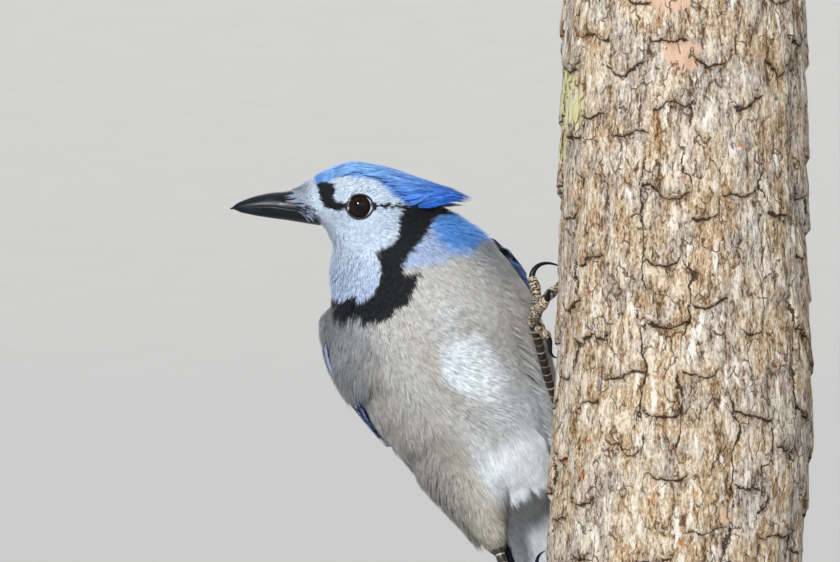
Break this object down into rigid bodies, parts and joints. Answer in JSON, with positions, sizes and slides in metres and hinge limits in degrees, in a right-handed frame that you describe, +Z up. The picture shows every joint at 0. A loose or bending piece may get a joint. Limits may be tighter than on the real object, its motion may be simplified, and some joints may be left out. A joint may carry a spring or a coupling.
{
  "type": "blue jay model",
  "caption": "Life-size still model of a crested blue jay clinging to a cut length of trunk, on two short rods and a round base.",
  "frame": {"origin": "centre of the base's underside", "axes": "+Z up along the trunk, +Y away from the viewer, who sees the bird's left side and belly; the bill points to -X"},
  "size_m": [0.2169, 0.16, 0.3086],
  "materials": {
    "plumage_blue": "soft overlapping feathers, blue",
    "plumage_grey": "soft downy feathers, warm grey to white",
    "plumage_pale": "short soft feathers, pale with a black collar",
    "flight_feathers": "smooth barred vanes, blue, black and white",
    "horn": "satin dark horn",
    "eye": "wet dark brown",
    "leg_scales": "hard dark scutes",
    "bark": "rough ridged bark, pale cut ends",
    "stand_wood": "oiled dark wood",
    "stand_metal": "brushed"
  },
  "bodies": {
    "root": {"head": "plumage_blue", "bill_upper": "horn", "bill_lower": "horn", "eye_L": "eye", "eye_R": "eye", "neck": "plumage_pale", "torso": "plumage_grey", "wing_L": "flight_feathers", "wing_R": "flight_feathers", "tail": "flight_feathers", "thigh_L": "plumage_grey", "tarsus_L": "leg_scales", "foot_L": "leg_scales", "claw_L_middle": "horn", "claw_L_inner": "horn", "claw_L_outer": "horn", "claw_L_hind": "horn", "thigh_R": "plumage_grey", "tarsus_R": "leg_scales", "foot_R": "leg_scales", "claw_R_middle": "horn", "claw_R_inner": "horn", "claw_R_outer": "horn", "claw_R_hind": "horn", "perch_trunk": "bark", "stand_base": "stand_wood", "stand_rod_1": "stand_metal", "stand_rod_2": "stand_metal"}
  },
  "joints": []
}
